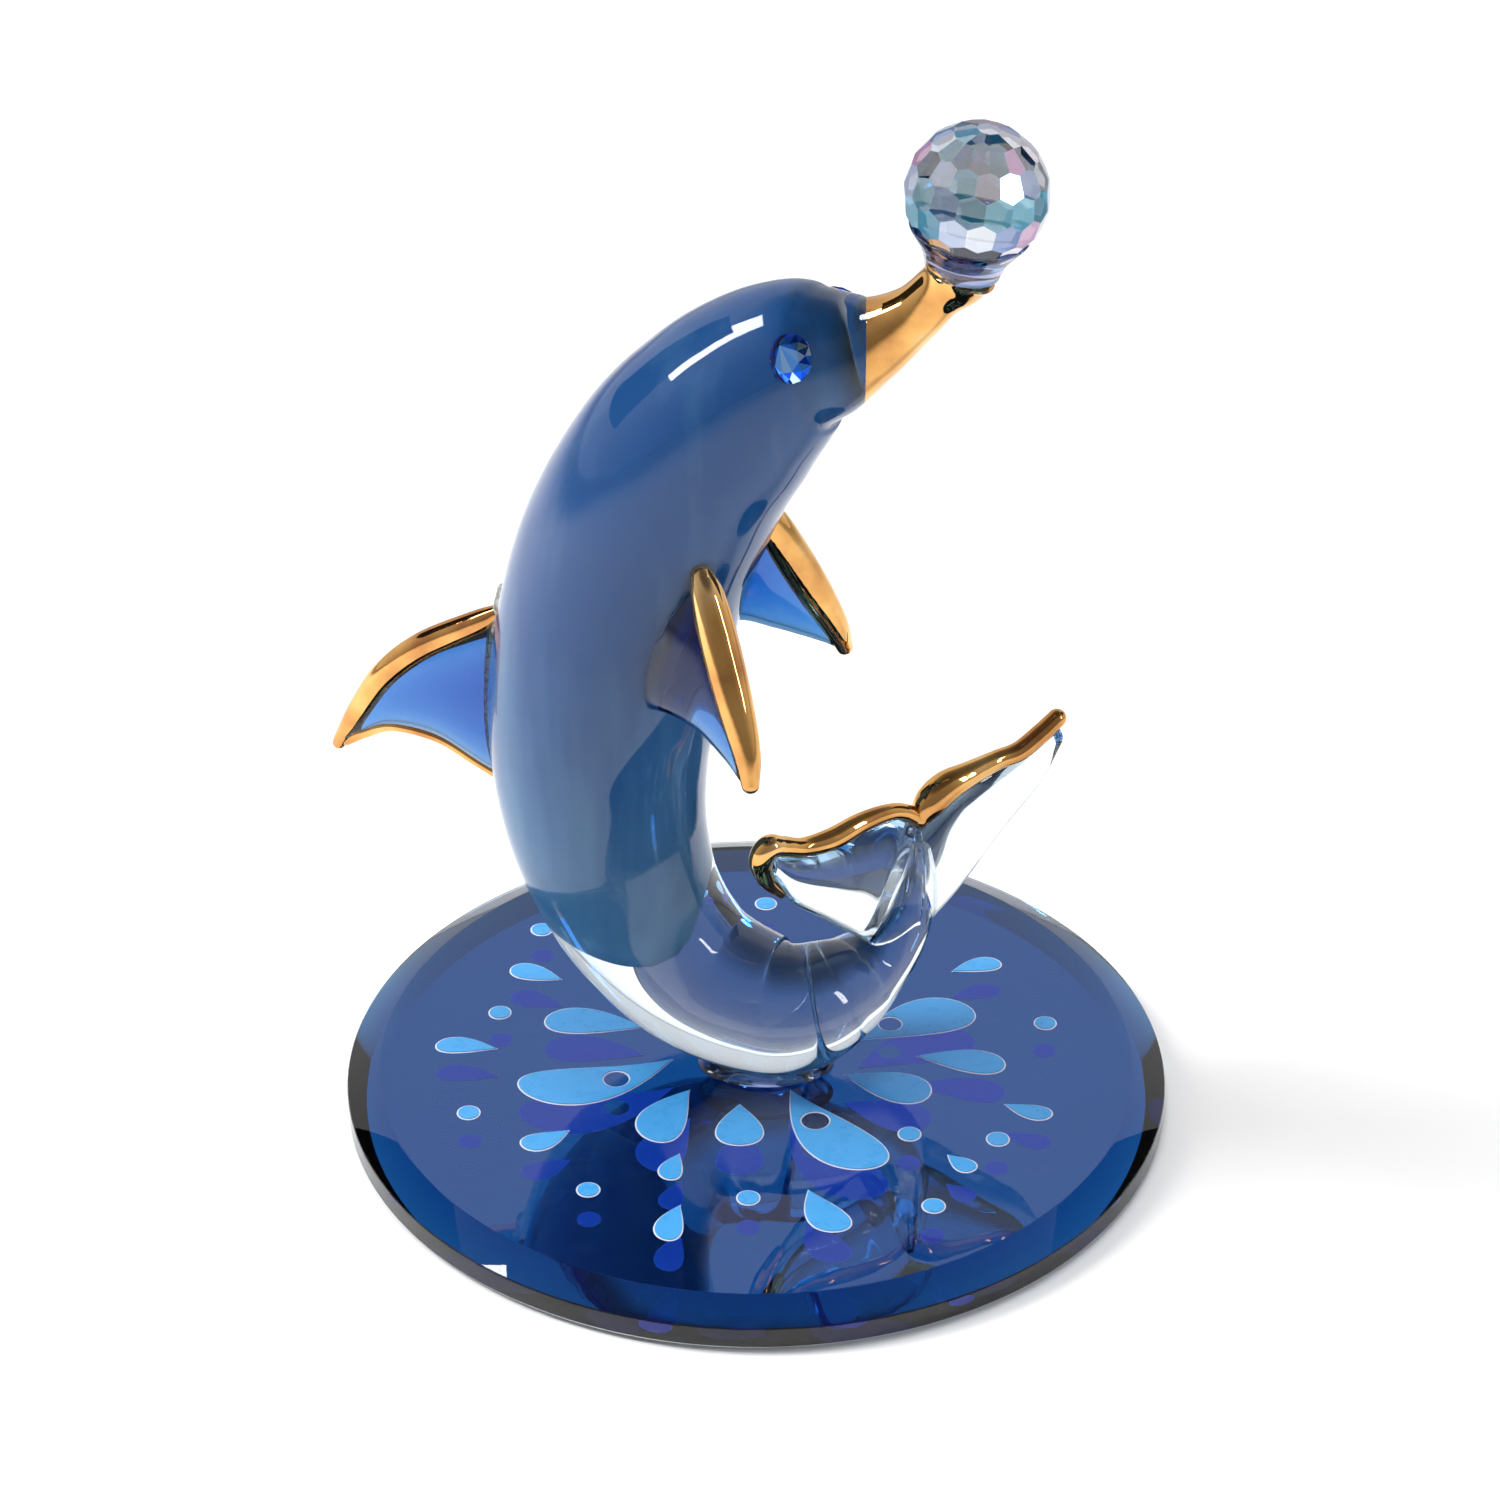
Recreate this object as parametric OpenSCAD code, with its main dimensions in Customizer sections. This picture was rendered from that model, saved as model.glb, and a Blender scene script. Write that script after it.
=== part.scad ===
// Lampworked glass dolphin balancing a faceted crystal ball, on a round bevelled mirror base.
// The origin is the centre of the underside of the base, and +Z is up.

/* [Base] */
// Diameter of the mirror base
base_d = 76; // [60:1:120]
// Thickness of the base glass
glass_t = 3.5; // [2.5:0.1:6]
// Width of the polished bevel round the top edge
bevel_w = 3; // [1:0.1:5]
// Height of the upright rim below the bevel
rim_h = 2.1; // [1:0.1:2.4]
// Thickness of the silvering under the glass
silver_t = 0.1; // [0.05:0.01:0.2]
// Thickness of the paint that protects the silvering
paint_t = 0.2; // [0.1:0.05:0.5]

/* [Splash print] */
// Thickness of the blue enamel
enamel_t = 0.08; // [0.05:0.01:0.15]
// Thickness of the white underprint
underprint_t = 0.04; // [0.03:0.01:0.08]
// How far the white underprint shows past the blue
underprint_edge = 0.14; // [0.05:0.01:0.3]
// Radius of the round dots
dot_r = 0.95; // [0.5:0.05:1.4]

/* [Dolphin] */
// Compass heading of the dolphin, anticlockwise from +X
heading = -20; // [-60:5:60]
// Distance of the foot from the centre, to the right
foot_x = 0.7; // [-3:0.1:3]
// Distance of the foot from the centre, to the back
foot_y = -1.7; // [-4:0.1:3]
// Radius of the blue core as a share of the body's radius
core_share = 0.66; // [0.5:0.01:0.72]
// How far the core lies towards the back of the dolphin
core_shift = 0.5; // [0:0.1:1]

/* [Crystals] */
// Diameter of the crystal ball
ball_d = 12; // [10:0.5:13]
// Facets round the equator of the ball
ball_facets = 14; // [10:2:20]
// Diameter of each eye crystal
eye_d = 4.2; // [3:0.1:5]

/* [Gold] */
// Thickness of the gilded skin on the beak
gild_t = 0.2; // [0.15:0.05:0.4]
// Scale of the rolled gold edges of the fins
roll_scale = 1; // [0.8:0.05:1.1]

/* [Hidden] */

base_r = base_d / 2;
silver_z = paint_t;
glass_z = silver_z + silver_t;
top_z = glass_z + glass_t;
enamel_z = top_z + underprint_t;
print_top = enamel_z + enamel_t;
base_fn = 180;
body_sides = 28;
body_rings = 72;
core_sides = 24;
core_rings = 34;
fin_sides = 22;
fin_rings = 12;
roll_sides = 12;
roll_rings = 21;

// The dolphin is drawn in its own frame: [forward, left, height], with the foot at [0, 0]
function place(p) = [
    foot_x + p[0] * cos(heading) - p[1] * sin(heading),
    foot_y + p[0] * sin(heading) + p[1] * cos(heading),
    p[2]
];

// Spine of the beak and body, ball end first: [forward, left, height, radius]
spine = [
    [17, 0, 88.1, 3.05], [16.4, 0, 87.1, 2.65], [15, 0, 85.6, 2.3], [13, 0, 83.3, 2.5],
    [10.4, 0, 81.1, 3.3], [8.6, 0, 80, 4.2], [6.1, 0, 78.8, 5.5], [3.1, 0, 77.6, 6.8],
    [-0.1, 0, 75.1, 7.9], [-3.6, 0, 71.2, 8.9], [-8, 0, 64.8, 9.8], [-12.3, 0, 54.9, 10.4],
    [-14.9, 0, 42.9, 10.45], [-15.7, 0, 34, 9.8], [-14.8, 0, 25.8, 8.95], [-12, 0, 18.5, 8],
    [-6.9, 0, 12.9, 7.2], [-0.2, 0, 10.7, 6.6], [3.4, 0.6, 11, 6.05], [6, 2.8, 11.8, 5.1],
    [7.7, 5.4, 12.6, 4.1], [9.3, 7.4, 14.3, 3.2], [10.4, 8.8, 17, 2.7], [11, 9.3, 21, 2],
    [11.3, 9.4, 25, 1.1]
];
spine_last = len(spine) - 1;
// The blue core runs between these two stations of the spine, as a thread up to its neck
core_from = 4.6;
core_neck = 5.7;
core_to = 15.6;
thread_share = 0.15;
end_round = 0.13;
// The gilding stops on the upright plane at this X, which is taken only above the tail
gild_x = 9;
tail_top = 50;
far_away = 60;

ball_at = [18, 0, 94.8];
ball_axis = [1, 0, 6.8];
ball_r = ball_d / 2;

// Fin edges from root to tip: [forward, left, height]
dorsal_lower = [[-22.5, 0, 29], [-27, 0, 30.8], [-31.6, 0, 33], [-36, 0, 33.2], [-39, 0, 31.9],
    [-41.3, 0, 30.3]];
dorsal_upper = [[-22.5, 0, 48.4], [-27.5, 0, 45.5], [-32.5, 0, 42.3], [-36.4, 0, 38.6],
    [-39, 0, 34.6], [-41.4, 0, 30.9]];
flipper_lower = [[-9, 7.2, 45], [-5.6, 8.6, 45.8], [-2.6, 9.4, 45.2], [0.6, 11, 43.8],
    [2.4, 12.1, 42.8]];
flipper_upper = [[-5.6, 5.2, 59], [-2.4, 7.4, 57.2], [-0.8, 8.7, 53.6], [1, 10.2, 49.2],
    [2.7, 11.8, 44.4]];
fluke_right_lower = [[11, 8.2, 14.6], [9, 5.2, 15.9], [7.3, 4, 17.5], [5.1, 2.1, 19.9],
    [2.7, -0.4, 23], [1.5, -2.3, 27]];
fluke_right_upper = [[11.4, 9.1, 27.4], [10.6, 8.2, 28.6], [9.4, 6.8, 29.2], [6.8, 3.5, 28.9],
    [3.9, -0.2, 28.7], [2, -2.6, 29.6]];
fluke_left_lower = [[11.2, 9.4, 15.2], [13.8, 12, 18.2], [17.1, 16, 23.6], [19.7, 19.1, 27.6],
    [21.1, 20.7, 31.5]];
fluke_left_upper = [[11.4, 9.1, 27.4], [14, 12.3, 30.4], [16.8, 15.7, 31], [19.3, 18.5, 32],
    [21, 20.5, 33.4]];

// Centre lines of the rolled gold edges: [forward, left, height, radius]
dorsal_roll_upper = [[-25.3, 0, 47.2, 0.8], [-27.3, 0, 45.8, 1.15], [-32.6, 0, 42.4, 1.3],
    [-36.4, 0, 38.8, 1.3], [-39.1, 0, 34.7, 1.15], [-41.1, 0, 31.2, 0.8], [-41.7, 0, 30.1, 0.65]];
dorsal_roll_lower = [[-25.6, 0, 30, 0.5], [-28, 0, 31.1, 0.5], [-31.6, 0, 32.8, 0.55],
    [-36, 0, 33.1, 0.55], [-39, 0, 31.8, 0.6], [-40.9, 0, 30.6, 0.6]];
flipper_roll = [[-3.4, 6.7, 59.4, 1], [-2.4, 7.5, 57.4, 1.5], [-0.9, 8.7, 53.8, 1.7],
    [1, 10.2, 49.2, 1.6], [2.6, 11.5, 45.2, 1.2], [3.2, 12.3, 42.7, 0.8]];
fluke_right_roll = [[11.4, 9.1, 28.1, 0.85], [10.5, 8.1, 29.1, 0.8], [9.4, 6.8, 29.6, 0.8],
    [7.6, 4.5, 29.5, 0.95], [5.7, 1.9, 28.9, 1.05], [3.8, -0.3, 29, 0.9], [2.4, -2, 29.8, 1],
    [1.5, -3, 30.1, 1.15], [0.9, -3.3, 28.6, 1.1], [1.2, -2.7, 26.4, 0.8], [2.1, -1.3, 24.3, 0.5]];
fluke_left_roll = [[11.6, 9.3, 28, 1], [12.3, 10.3, 29.3, 1.5], [13.4, 11.6, 30.4, 1.5],
    [14.9, 13.3, 31, 1.2], [16.8, 15.7, 31.5, 0.95], [18.4, 17.4, 31.8, 0.95],
    [19.9, 19.1, 33, 0.95], [21, 20.5, 34.1, 0.9]];
dorsal_weld_line = [[-24.7, 0, 49.8, 0.5], [-25.1, 0, 46, 0.9], [-25.5, 0, 40, 1],
    [-25.6, 0, 34, 0.9], [-25, 0, 28.6, 0.5]];

eye_at = [4.2, 5.4, 80.2];
eye_out = [-0.24, 0.89, 0.38];

// Splash drops: [round end x, y, tail x, y, width, bow of the middle to its left]
petals = [
    [-21.8, -5.2, -7.8, -1, 5.5, -1.7], [11.1, -17, 3.2, -5.8, 5.8, 1.2],
    [20.4, 6.8, 9.6, 2, 5.5, -0.9], [-19.8, 5.1, -10.6, 4, 3.9, 0.4],
    [15.9, -6.4, 8.2, -3.4, 4.3, 0], [23, -2, 15, -0.5, 3.4, -0.2], [-9.2, -13.4, -6.1, -5.8, 4.4, 0.6],
    [-1.5, -14, -1.5, -8, 4.2, 0], [7.7, -26.2, 4.7, -20.6, 3.3, 0.5], [-29.8, 1.1, -24.2, 0.6, 2.3, 0.3],
    [-23.4, 13.6, -18.6, 11.8, 2.4, 0.1], [-21.1, -14.1, -17, -11.9, 2.4, -0.3],
    [23.4, 14.6, 18.8, 13.2, 2.1, -0.3], [26.9, -9.5, 22.8, -7.9, 2, 0.2],
    [-7.8, -27.6, -6.7, -22.8, 2.4, 0.3], [-7.8, -19, -6.9, -15.4, 2, 0.2],
    [19.5, -17.6, 17.3, -15.5, 1.8, 0.1]
];
// Round windows in the three large drops: [x, y, radius]
windows = [[-12.9, -4.1, 1.3], [5.4, -10.4, 1.4], [12.6, 4.6, 1.2]];
// Round dots: [radius, angle]
dots = [
    [27.6, 10], [18.6, -41.6], [25.5, -30.9], [27.7, -55.4], [25.4, -126], [21.7, -91.8],
    [27.8, -160.6], [25, 165.2], [29, 135.9], [24.7, 87.8]
];

// Vector helpers
function unit(v) = v / norm(v);
function head3(p) = [p[0], p[1], p[2]];
function mirrored(list) = [for (p = list) len(p) > 3 ? [p[0], -p[1], p[2], p[3]] : [p[0], -p[1], p[2]]];

// Catmull-Rom curve through a list, t from 0 to 1
function catmull(a, b, c, d, t) = 0.5 * (2 * b + (c - a) * t + (2 * a - 5 * b + 4 * c - d) * t * t
    + (3 * b - a - 3 * c + d) * t * t * t);
function curve(list, t) = let (
    last = len(list) - 1,
    k = min(floor(t * last), last - 1),
    before = k > 0 ? list[k - 1] : 2 * list[0] - list[1],
    after = k + 2 <= last ? list[k + 2] : 2 * list[last] - list[last - 1]
) catmull(before, list[k], list[k + 1], after, t * last - k);

// Rings of points round a line of [x, y, z, radius]
function ring(line, i, sides, side_axis) = let (
    last = len(line) - 1,
    along = unit(head3(line[min(i + 1, last)]) - head3(line[max(i - 1, 0)])),
    side = unit(side_axis - (side_axis * along) * along),
    up = cross(along, side)
) [for (j = [0 : sides - 1]) let (w = 360 * j / sides)
    head3(line[i]) + line[i][3] * (cos(w) * side + sin(w) * up)];

// A closed skin over equal rings, with flat ends
module skin(rings) {
    sides = len(rings[0]);
    count = len(rings);
    points = [for (r = rings) for (p = r) place(p)];
    walls = [for (i = [0 : count - 2]) for (j = [0 : sides - 1]) let (
        a = i * sides + j, b = i * sides + (j + 1) % sides)
        each [[a, a + sides, b + sides], [a, b + sides, b]]];
    first_end = [for (j = [0 : sides - 1]) j];
    last_end = [for (j = [sides - 1 : -1 : 0]) (count - 1) * sides + j];
    polyhedron(points, concat([first_end], walls, [last_end]), convexity = 6);
}

// A round bar along a curve of [forward, left, height, radius]
module bar(list, sides, rings, grow = 0, side_axis = [0, 1, 0]) {
    line = [for (i = [0 : rings]) let (p = curve(list, i / rings)) [p[0], p[1], p[2], p[3] + grow]];
    skin([for (i = [0 : rings]) ring(line, i, sides, side_axis)]);
}

// The same bar with domed ends
function domed(list, rings, scale_r) = let (
    dome = 3,
    line = [for (i = [0 : rings]) let (p = curve(list, i / rings)) [p[0], p[1], p[2], p[3] * scale_r]],
    first = line[0],
    last = line[rings],
    out_first = unit(head3(first) - head3(line[1])),
    out_last = unit(head3(last) - head3(line[rings - 1]))
) concat(
    [for (k = [dome : -1 : 1]) let (w = 84 * k / dome) concat(
        head3(first) + out_first * first[3] * sin(w), [first[3] * cos(w)])],
    line,
    [for (k = [1 : dome]) let (w = 84 * k / dome) concat(
        head3(last) + out_last * last[3] * sin(w), [last[3] * cos(w)])]
);

module roll(list, scale_r = 1, side_axis = [0, 1, 0]) {
    line = domed(list, roll_rings, roll_scale * scale_r);
    skin([for (i = [0 : len(line) - 1]) ring(line, i, roll_sides, side_axis)]);
}

// A fin blade between two edges, half_root and half_tip thick from its middle
module blade(lower, upper, half_root, half_tip) {
    rows = [for (i = [0 : fin_rings]) let (t = i / fin_rings) [curve(lower, t), curve(upper, t)]];
    middles = [for (r = rows) (r[0] + r[1]) / 2];
    skin([for (i = [0 : fin_rings]) let (
        t = i / fin_rings,
        reach = (rows[i][1] - rows[i][0]) / 2,
        along = unit(middles[min(i + 1, fin_rings)] - middles[max(i - 1, 0)]),
        thick = unit(cross(along, reach)) * (half_root * (1 - t) + half_tip * t)
    ) [for (j = [0 : fin_sides - 1]) let (w = 360 * j / fin_sides)
        middles[i] + cos(w) * reach + sin(w) * thick]]);
}

// Share of the core's full radius at a station: a thread, a rounded neck and a rounded end
function core_ease(station) = min(1, max(thread_share, sqrt(max(0, station - core_neck))),
    sqrt(max(0, core_to + end_round - station)));

// Centre line of the core: [forward, left, height, radius]
function core_line() = [for (i = [0 : core_rings]) let (
    station = core_from + (core_to - core_from) * i / core_rings,
    t = station / spine_last,
    p = curve(spine, t),
    back = cross([0, 1, 0], unit(head3(curve(spine, t + 0.01)) - head3(p)))
) [p[0] + back[0] * core_shift, 0, p[2] + back[2] * core_shift, p[3] * core_share * core_ease(station)]];

// Keeps a freeform piece as one mesh of facets
module freeform() resize([0, 0, 0]) children();

module outline(grow = 0) bar(spine, body_sides, body_rings, grow);
module core_outline() {
    line = core_line();
    skin([for (i = [0 : core_rings]) ring(line, i, core_sides, [0, 1, 0])]);
}
module beak_side() translate([gild_x, -far_away, tail_top]) cube([far_away, 2 * far_away, far_away]);

// Turns the +Z axis to a direction given in the dolphin's frame, at a point there
module stand_at(p, out) {
    d = place([out[0], out[1], out[2]]) - place([0, 0, 0]);
    side = norm([d[0], d[1]]);
    translate(place(p)) rotate([0, atan2(side, d[2]), atan2(d[1], d[0])]) children();
}

// Base
module backing_paint() color("#202020") cylinder(r = base_r - 0.4, h = paint_t, $fn = base_fn);
module mirror_silver() color("#c9d0da") translate([0, 0, silver_z])
    cylinder(r = base_r - 0.2, h = silver_t, $fn = base_fn);
module base_glass() color("#1b3f8f") translate([0, 0, glass_z]) rotate_extrude($fn = base_fn)
    polygon([[0, 0], [base_r, 0], [base_r, rim_h], [base_r - bevel_w, glass_t], [0, glass_t]]);

// Bowed teardrop from its round end to its tail
module teardrop(drop, grow) {
    steps = 13;
    fullness = 2.7;
    tail = [drop[2], drop[3]];
    along = unit(tail - [drop[0], drop[1]]);
    left = [-along[1], along[0]];
    start = [drop[0], drop[1]] - grow * along;
    span = tail + grow * along - start;
    shares = [for (i = [0 : steps]) (1 - cos(180 * i / steps)) / 2];
    function middle(s) = start + span * s + left * drop[5] * 4 * s * (1 - s);
    function half(s) = (drop[4] / 2 + grow) * fullness * sqrt(s) * pow(1 - s, 1.1);
    polygon(concat(
        [for (i = [0 : steps]) middle(shares[i]) - left * half(shares[i])],
        [for (i = [steps - 1 : -1 : 1]) middle(shares[i]) + left * half(shares[i])]));
}
module petal_shapes(grow) difference() {
    for (drop = petals) teardrop(drop, grow);
    for (w = windows) translate([w[0], w[1]]) circle(r = w[2] - grow, $fn = 24);
}
module dot_shapes(grow) for (d = dots) rotate(d[1]) translate([d[0], 0]) circle(r = dot_r + grow, $fn = 24);
module splash_underprint() color("#eef4f8") translate([0, 0, top_z]) linear_extrude(underprint_t) {
    petal_shapes(underprint_edge);
    dot_shapes(underprint_edge);
}
module splash_petals() color("#4faee3") translate([0, 0, enamel_z]) linear_extrude(enamel_t)
    petal_shapes(0);
module splash_dots() color("#4faee3") translate([0, 0, enamel_z]) linear_extrude(enamel_t)
    dot_shapes(0);

// Clear cement between the lower bend and the base
module foot_cement() color("#8f97c8") freeform() difference() {
    translate([0, 0, print_top]) hull() {
        stand_flat([-3.2, 0]) cylinder(r1 = 3.1, r2 = 2.4, h = 0.9, $fn = 32);
        stand_flat([3.8, 0.4]) cylinder(r1 = 2.8, r2 = 2.2, h = 0.9, $fn = 32);
    }
    outline();
}
module stand_flat(p) translate([place([p[0], p[1], 0])[0], place([p[0], p[1], 0])[1], 0]) children();

// Body
module body_casing() color("#8fb4cf", 0.6) freeform() difference() {
    outline();
    core_outline();
    beak_side();
    eye_stone(1);
    eye_stone(-1);
}
module body_core() color("#2d5582") freeform() difference() {
    core_outline();
    beak_side();
}

// Fins: each blade is seated on the body and in its rolled edge
module dorsal_weld() color("#cfd6cf") freeform() difference() {
    roll(dorsal_weld_line);
    outline();
}
module dorsal_fin() color("#3a639b") freeform() difference() {
    blade(dorsal_lower, dorsal_upper, 1.9, 0.7);
    outline();
    roll(dorsal_weld_line);
    roll(dorsal_roll_upper);
    roll(dorsal_roll_lower);
}
module dorsal_gold_upper() color("#c58a3a") freeform() difference() {
    roll(dorsal_roll_upper);
    roll(dorsal_weld_line);
}
module dorsal_gold_lower() color("#c58a3a") freeform() difference() {
    roll(dorsal_roll_lower);
    roll(dorsal_weld_line);
    roll(dorsal_roll_upper);
}
module flipper(lower, upper, gold) freeform() difference() {
    blade(lower, upper, 1.9, 0.8);
    outline();
    roll(gold);
}
module flipper_gold(gold) freeform() difference() {
    roll(gold);
    outline();
}
module flipper_left() color("#3a639b") flipper(flipper_lower, flipper_upper, flipper_roll);
module flipper_left_gold() color("#c58a3a") flipper_gold(flipper_roll);
module flipper_right() color("#3a639b")
    flipper(mirrored(flipper_lower), mirrored(flipper_upper), mirrored(flipper_roll));
module flipper_right_gold() color("#c58a3a") flipper_gold(mirrored(flipper_roll));

module fluke_right() color("#7fa6c8") freeform() difference() {
    blade(fluke_right_lower, fluke_right_upper, 2, 1);
    outline();
    roll(fluke_right_roll);
    roll(fluke_left_roll);
}
module fluke_right_gold() color("#c58a3a") freeform() difference() {
    roll(fluke_right_roll);
    outline();
    roll(fluke_left_roll);
}
module fluke_left() color("#7fa6c8") freeform() difference() {
    blade(fluke_left_lower, fluke_left_upper, 2.05, 1);
    outline();
    roll(fluke_left_roll);
    blade(fluke_right_lower, fluke_right_upper, 2, 1);
    roll(fluke_right_roll);
}
module fluke_left_gold() color("#c58a3a") freeform() difference() {
    roll(fluke_left_roll);
    outline();
}

// Beak and ball
module beak_glass() color("#c9dbe6") freeform() intersection() {
    outline(-gild_t);
    beak_side();
}
module beak_gold() color("#c58a3a") freeform() difference() {
    intersection() {
        outline();
        beak_side();
    }
    outline(-gild_t);
}

// Staggered rows of points on a sphere, which make the ball's facets
module crystal_ball() color("#cfe6f5") stand_at(ball_at, ball_axis) faceted_ball();
module faceted_ball() {
    rows = [-78, -58, -36, -12, 12, 36, 58, 78];
    points = [for (k = [0 : len(rows) - 1]) let (count = abs(rows[k]) > 70 ? ball_facets / 2 : ball_facets)
        for (j = [0 : count - 1]) let (w = 360 * (j + (k % 2) / 2) / count)
            ball_r * [cos(rows[k]) * cos(w), cos(rows[k]) * sin(w), sin(rows[k])]];
    hull() polyhedron(points, [for (i = [0 : len(points) - 3]) [i, i + 1, i + 2]]);
}
module ball_cement() color("#dfe8ee") freeform() difference() {
    stand_at(ball_at, ball_axis) rotate_extrude($fn = 48) polygon([
        [0, -6.9], [3.15, -6.9], [3.3, -6.2], [3.8, -5.1], [4.5, -4.1], [5.05, -3.3], [0, -3.3]]);
    stand_at(ball_at, ball_axis) faceted_ball();
    outline();
}

// Eye crystals with a flat table, a girdle and a pointed back
module eye_stone(side) stand_at([eye_at[0], side * eye_at[1], eye_at[2]],
    [eye_out[0], side * eye_out[1], eye_out[2]]) {
    cylinder(r1 = eye_d / 2, r2 = eye_d * 0.3, h = 0.8, $fn = 12);
    translate([0, 0, -1.4]) cylinder(r1 = 0.3, r2 = eye_d / 2, h = 1.4, $fn = 12);
}
module eye_right() color("#1848b8") eye_stone(-1);
module eye_left() color("#1848b8") eye_stone(1);

backing_paint();
mirror_silver();
base_glass();
splash_underprint();
splash_petals();
splash_dots();
foot_cement();
body_casing();
body_core();
dorsal_weld();
dorsal_fin();
dorsal_gold_upper();
dorsal_gold_lower();
flipper_right();
flipper_right_gold();
flipper_left();
flipper_left_gold();
fluke_right();
fluke_right_gold();
fluke_left();
fluke_left_gold();
beak_glass();
beak_gold();
ball_cement();
crystal_ball();
eye_right();
eye_left();
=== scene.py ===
"""Glass dolphin on a bevelled mirror base: smooth glass, fired gold, printed enamel and cut stones."""

import math

import bmesh
import bpy
from bpy.props import FloatProperty, FloatVectorProperty, IntProperty, PointerProperty
from mathutils import Matrix, Vector


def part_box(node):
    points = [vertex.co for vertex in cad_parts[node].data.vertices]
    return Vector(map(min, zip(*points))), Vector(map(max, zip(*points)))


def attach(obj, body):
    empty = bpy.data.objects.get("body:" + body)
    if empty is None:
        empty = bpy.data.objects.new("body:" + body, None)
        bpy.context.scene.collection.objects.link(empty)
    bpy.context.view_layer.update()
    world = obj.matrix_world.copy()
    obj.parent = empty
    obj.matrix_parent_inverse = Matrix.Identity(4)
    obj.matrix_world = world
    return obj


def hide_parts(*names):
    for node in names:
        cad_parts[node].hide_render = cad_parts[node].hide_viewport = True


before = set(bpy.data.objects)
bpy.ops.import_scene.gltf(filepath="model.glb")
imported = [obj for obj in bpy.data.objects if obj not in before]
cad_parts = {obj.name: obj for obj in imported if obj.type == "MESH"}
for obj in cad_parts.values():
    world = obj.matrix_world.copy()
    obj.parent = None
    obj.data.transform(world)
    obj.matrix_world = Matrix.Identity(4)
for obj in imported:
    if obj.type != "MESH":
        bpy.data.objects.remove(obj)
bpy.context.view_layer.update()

bl_info = {
    "name": "Glass Dolphin Figurine",
    "version": (1, 0, 0),
    "blender": (4, 5, 0),
    "location": "3D View > Sidebar > Figurine",
    "description": "Builds a lampworked glass dolphin on a mirror base",
    "category": "Add Mesh",
}

MM = 0.001
BODY = "root"
HEADING = math.radians(-20)
FOOT = Vector((0.7, -1.7, 0))
# Upright plane between the clear head and the gilded beak, and the height above which it holds
GILD_X = 9
TAIL_TOP = 50
# How far hidden joints reach into the piece that they are fused to
SEATED = 0.12

# Spine of the beak and body, ball end first: forward, left, height, radius in millimetres
SPINE = [
    (17, 0, 88.1, 3.05), (16.4, 0, 87.1, 2.65), (15, 0, 85.6, 2.3), (13, 0, 83.3, 2.5),
    (10.4, 0, 81.1, 3.3), (8.6, 0, 80, 4.2), (6.1, 0, 78.8, 5.5), (3.1, 0, 77.6, 6.8),
    (-0.1, 0, 75.1, 7.9), (-3.6, 0, 71.2, 8.9), (-8, 0, 64.8, 9.8), (-12.3, 0, 54.9, 10.4),
    (-14.9, 0, 42.9, 10.45), (-15.7, 0, 34, 9.8), (-14.8, 0, 25.8, 8.95), (-12, 0, 18.5, 8),
    (-6.9, 0, 12.9, 7.2), (-0.2, 0, 10.7, 6.6), (3.4, 0.6, 11, 6.05), (6, 2.8, 11.8, 5.1),
    (7.7, 5.4, 12.6, 4.1), (9.3, 7.4, 14.3, 3.2), (10.4, 8.8, 17, 2.7), (11, 9.3, 21, 2),
    (11.3, 9.4, 25, 1.1),
]
CORE_FROM, CORE_NECK, CORE_TO = 5.6, 5.6, 15.6
CORE_SHIFT = 0.5
# Heights between which the core pales, in metres
PALE_FROM, PALE_TO = 55 * MM, 18 * MM
# Share of the core's radius, squared, that is left at its very ends, and how gently its lower end rounds
CORE_LEAST, CORE_ROUNDING = 0.0004, 1.3

# Mirror base, in millimetres: upright rim, bevel, and the backs' radii and thickness
RIM_HEIGHT, BEVEL_WIDTH = 2.1, 3
SILVER_RADIUS, PAINT_RADIUS, PAINT_THICK = 37.8, 37.6, 0.2
# Heights of the print over the glass, in millimetres
PRINT_SUNK, UNDERPRINT_TOP, ENAMEL_FOOT, ENAMEL_TOP = 0.02, 0.04, 0.02, 0.12
# A drop's outline: how full it is, and how fast it narrows to its tail
DROP_FULLNESS, DROP_TAPER = 2.7, 1.1

# Fin edges from root to tip: forward, left, height
DORSAL = (
    [(-22.5, 0, 29), (-27, 0, 30.8), (-31.6, 0, 33), (-36, 0, 33.2), (-39, 0, 31.9), (-41.3, 0, 30.3)],
    [(-22.5, 0, 48.4), (-27.5, 0, 45.5), (-32.5, 0, 42.3), (-36.4, 0, 38.6), (-39, 0, 34.6),
     (-41.4, 0, 30.9)],
)
FLIPPER = (
    [(-9, 7.2, 45), (-5.6, 8.6, 45.8), (-2.6, 9.4, 45.2), (0.6, 11, 43.8), (2.4, 12.1, 42.8)],
    [(-5.6, 5.2, 59), (-2.4, 7.4, 57.2), (-0.8, 8.7, 53.6), (1, 10.2, 49.2), (2.7, 11.8, 44.4)],
)
FLUKE_RIGHT = (
    [(11, 8.2, 14.6), (9, 5.2, 15.9), (7.3, 4, 17.5), (5.1, 2.1, 19.9), (2.7, -0.4, 23),
     (1.5, -2.3, 27)],
    [(11.4, 9.1, 27.4), (10.6, 8.2, 28.6), (9.4, 6.8, 29.2), (6.8, 3.5, 28.9), (3.9, -0.2, 28.7),
     (2, -2.6, 29.6)],
)
FLUKE_LEFT = (
    [(11.2, 9.4, 15.2), (13.8, 12, 18.2), (17.1, 16, 23.6), (19.7, 19.1, 27.6), (21.1, 20.7, 31.5)],
    [(11.4, 9.1, 27.4), (14, 12.3, 30.4), (16.8, 15.7, 31), (19.3, 18.5, 32), (21, 20.5, 33.4)],
)

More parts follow.
